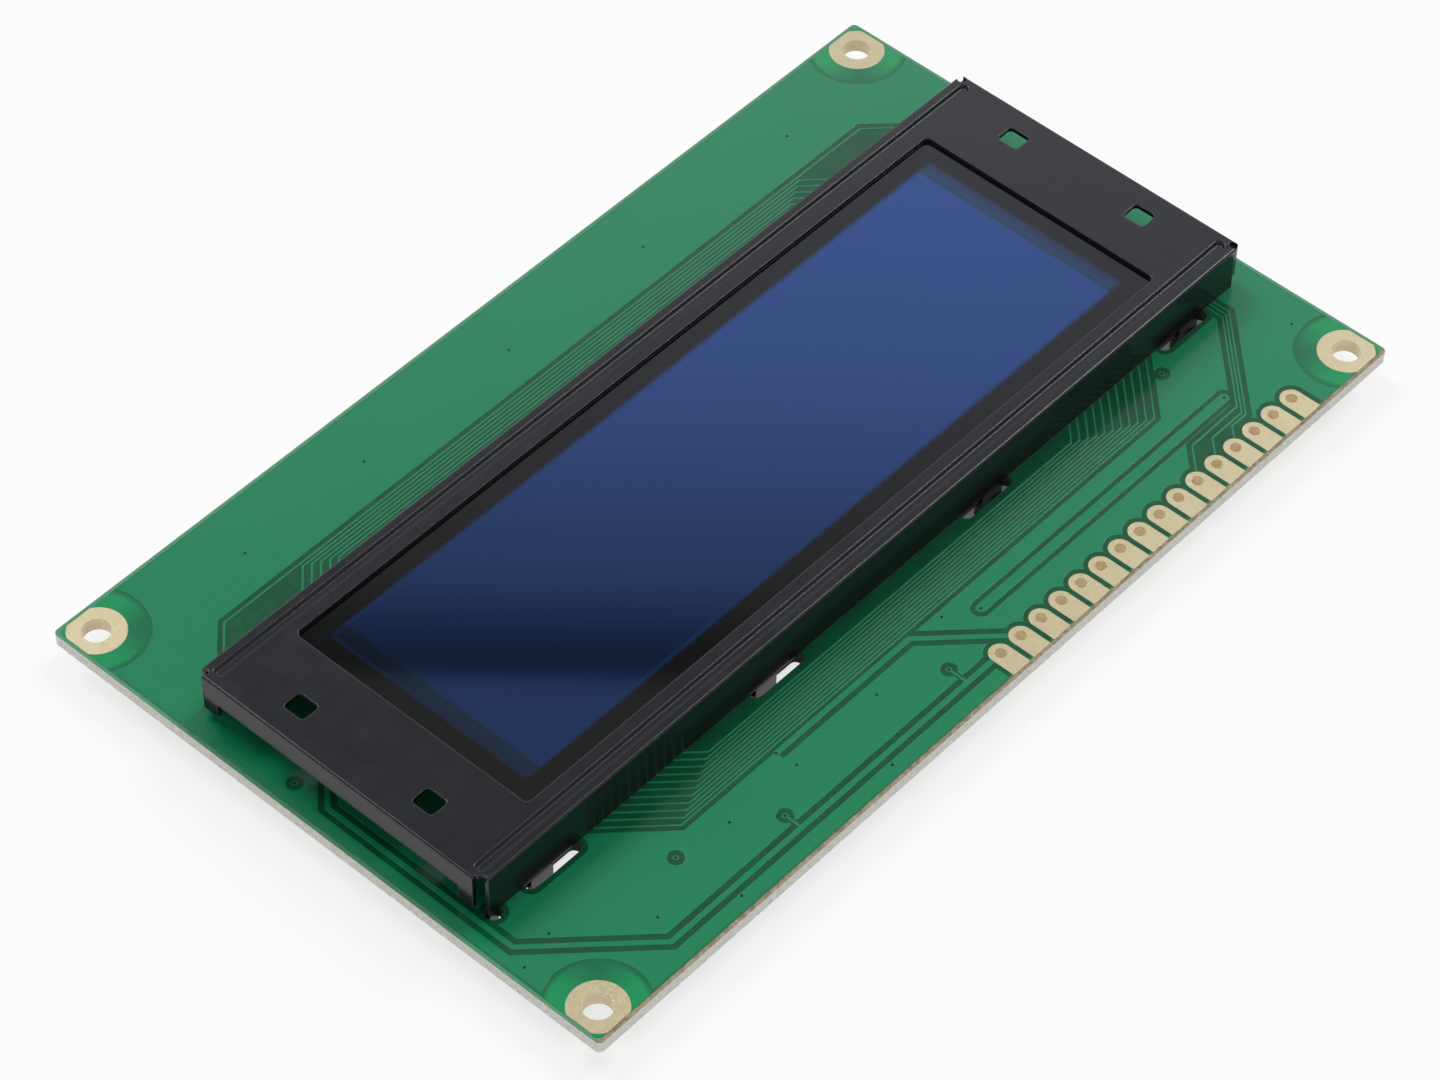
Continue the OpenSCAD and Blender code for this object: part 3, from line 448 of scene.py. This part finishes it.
# Surfaces that differ only in their settings
GRAINED = {
    "seal_resin": dict(
        dark=(0.22, 0.21, 0.18), light=(0.30, 0.29, 0.25), per_mm=6, roughness=0.6,
    ),
    "drying_paper": dict(
        dark=(0.66, 0.65, 0.60), light=(0.80, 0.79, 0.75), per_mm=5, roughness=0.85, depth_mm=0.02,
    ),
    "holder_plastic": dict(
        dark=(0.010, 0.010, 0.011), light=(0.018, 0.018, 0.019), per_mm=9, roughness=0.5,
    ),
    "silicon": dict(
        dark=(0.05, 0.052, 0.06), light=(0.08, 0.083, 0.095), per_mm=3, roughness=0.18, depth_mm=0.001,
        metallic=0.6,
    ),
    "cover_resin": dict(
        dark=(0.006, 0.006, 0.0065), light=(0.011, 0.011, 0.012), per_mm=1.6, roughness=0.3, depth_mm=0.02,
    ),
    "capacitor_ceramic": dict(
        dark=(0.26, 0.15, 0.07), light=(0.38, 0.24, 0.12), per_mm=12, roughness=0.5,
    ),
    "tin": dict(
        dark=(0.52, 0.52, 0.51), light=(0.74, 0.74, 0.72), per_mm=10, roughness=0.34, depth_mm=0.008,
        metallic=1.0,
    ),
    "ferrite": dict(
        dark=(0.012, 0.012, 0.013), light=(0.034, 0.034, 0.036), per_mm=14, roughness=0.55, depth_mm=0.012,
    ),
    "package_plastic": dict(
        dark=(0.009, 0.009, 0.010), light=(0.017, 0.017, 0.018), per_mm=16, roughness=0.55, depth_mm=0.01,
    ),
}
MAKERS = (
    laminate, copper_foil, solder_mask, gold_plate, black_lacquer, polariser, panel_glass, picture_layer,
    contact_rubber, resistor_ceramic,
)
LOOKS = {make.__name__: make() for make in MAKERS}
LOOKS.update({name: grained(name, **settings) for name, settings in GRAINED.items()})

for part in frame["record"]["subparts"]:
    mesh = frame["nodes"][part["node"]].data
    mesh.materials.clear()
    mesh.materials.append(LOOKS[part["material_slot"]])


def floor_look():
    """White paint with a glow that only the camera, gloss and glass see. The floor is almost white to them,
    with the part's soft shadow."""
    paint_level, glow_share, shaded_share = 0.9, 0.75, 0.08
    material = bpy.data.materials.new("floor")
    material.use_nodes = True
    nodes = Nodes(material.node_tree)
    nodes.tree.nodes.clear()
    paint = nodes.add("ShaderNodeBsdfDiffuse")
    nodes.feed(paint.inputs["Color"], grey(paint_level))
    glow = nodes.add("ShaderNodeEmission")
    nodes.feed(glow.inputs["Color"], grey(1.0))
    nodes.feed(glow.inputs["Strength"], 1.0)
    rays = nodes.add("ShaderNodeLightPath").outputs
    mirrored = nodes.math("MAXIMUM", rays["Is Glossy Ray"], rays["Is Transmission Ray"])
    seen = nodes.math("MAXIMUM", rays["Is Camera Ray"], mirrored)
    # Under the far half of the board there is little glow, so the slots there show the board's shadow
    far_x, near_x, side_y = -44 * MM, 0.0, 17 * MM
    along, across, _ = nodes.split(nodes.add("ShaderNodeNewGeometry").outputs["Position"])
    shaded = nodes.times(
        nodes.step(along, far_x - 2 * MM, far_x),
        nodes.fade(along, near_x, near_x + 5 * MM),
        nodes.fade(nodes.size(across), side_y, side_y + 3 * MM),
    )
    share = nodes.times(seen, nodes.step(shaded, 0.0, 1.0, glow_share, shaded_share))
    surface = nodes.add("ShaderNodeOutputMaterial").inputs["Surface"]
    nodes.feed(surface, nodes.blend(share, paint, glow))
    return material


def floor():
    """A wide level floor that the part lies on."""
    half_width = 3.0
    corners = [(-half_width, -half_width), (half_width, -half_width), (half_width, half_width),
               (-half_width, half_width)]
    mesh = bpy.data.meshes.new("floor")
    mesh.from_pydata([(x, y, FLOOR_Z) for x, y in corners], [], [(0, 1, 2, 3)])
    mesh.materials.append(floor_look())
    piece = bpy.data.objects.new("floor", mesh)
    bpy.context.scene.collection.objects.link(piece)


def studio():
    """Soft light: a pale wall behind the part with a dark gap above it, two soft boxes high up behind it at
    the left and the right, and a wall behind the camera that is bright low down, for the edges. The camera
    itself sees white.

    The light goes by the angle in the upright plane that the camera looks along: 0 is the horizon behind
    the part, 90 is overhead and 180 is the horizon behind the camera.
    """
    profile = [
        (0, 0.60), (22, 0.75), (34, 1.25), (41, 1.30), (43.5, 0.90), (46.5, 0.71), (47.5, 0.58),
        (48.6, 0.41), (50.2, 0.35), (60, 0.42), (72, 0.48), (84, 0.44), (98, 0.36), (115, 0.34),
        (140, 0.40), (162, 0.45), (169, 1.7), (180, 2.3),
    ]
    wall_top, wall_tint, plain = 48, (0.98, 1.00, 1.10), (1.0, 1.0, 1.0)
    box_strength, wing_shade, gap_shade = 19.0, 0.6, 0.72
    world = bpy.data.worlds.new("studio")
    bpy.context.scene.world = world
    world.use_nodes = True
    nodes = Nodes(world.node_tree)
    nodes.tree.nodes.clear()
    way = nodes.add("ShaderNodeTexCoord").outputs["Generated"]
    behind = nodes.vector("DOT_PRODUCT", way, (-math.sin(AZIMUTH), math.cos(AZIMUTH), 0.0))
    aside = nodes.vector("DOT_PRODUCT", way, (math.cos(AZIMUTH), math.sin(AZIMUTH), 0.0))
    height = nodes.vector("DOT_PRODUCT", way, (0.0, 0.0, 1.0))
    half_turns = nodes.math("DIVIDE", nodes.math("ARCTAN2", height, behind), math.pi)
    degrees = nodes.math("MULTIPLY", half_turns, 180.0)
    off_axis = nodes.size(aside)
    stops = []
    for at, light in profile:
        tint = wall_tint if at < wall_top else plain
        stops.append((at / 180, [light * c for c in tint]))
    level = nodes.ramp(half_turns, stops)
    boxes = nodes.times(
        nodes.between(degrees, 51, 67, soft=4),
        nodes.between(off_axis, 0.27, 0.61, soft=0.06),
    )
    # The light falls off at the left and the right, behind the part and above it
    wings = nodes.times(nodes.step(off_axis, 0.35, 0.80), nodes.fade(degrees, 85, 110))
    # The gap darkens slowly upward and ends at a sharp edge
    gap = nodes.times(nodes.step(degrees, 48.7, 50.05), nodes.fade(degrees, 50.08, 50.22))
    shade = nodes.math("MULTIPLY_ADD", wings, -wing_shade, 1.0)
    shade = nodes.math("MULTIPLY_ADD", gap, -gap_shade, shade)
    lamp = nodes.add("ShaderNodeBackground")
    nodes.feed(lamp.inputs["Color"], level)
    nodes.feed(lamp.inputs["Strength"], nodes.math("MULTIPLY_ADD", boxes, box_strength, shade))
    white = nodes.add("ShaderNodeBackground")
    nodes.feed(white.inputs["Color"], grey(1.0))
    seen = nodes.add("ShaderNodeLightPath").outputs["Is Camera Ray"]
    surface = nodes.add("ShaderNodeOutputWorld").inputs["Surface"]
    nodes.feed(surface, nodes.blend(seen, lamp, white))


def camera():
    """The photograph's camera."""
    reach = math.cos(ELEVATION)
    back = Vector((math.sin(AZIMUTH) * reach, -math.cos(AZIMUTH) * reach, math.sin(ELEVATION)))
    level_right = Vector((0, 0, 1)).cross(back).normalized()
    level_up = back.cross(level_right)
    right = level_right * math.cos(ROLL) + level_up * math.sin(ROLL)
    up = level_up * math.cos(ROLL) - level_right * math.sin(ROLL)
    turn = Matrix((right, up, back)).transposed().to_4x4()
    data = bpy.data.cameras.new("camera")
    data.sensor_width = SENSOR_MM
    data.lens = LENS_MM
    data.clip_start, data.clip_end = 0.01, 20.0
    viewer = bpy.data.objects.new("camera", data)
    viewer.matrix_world = Matrix.Translation(AIM + back * DISTANCE) @ turn
    bpy.context.scene.collection.objects.link(viewer)
    bpy.context.scene.camera = viewer


floor()
studio()
camera()
bpy.context.scene.view_settings.view_transform = "Standard"
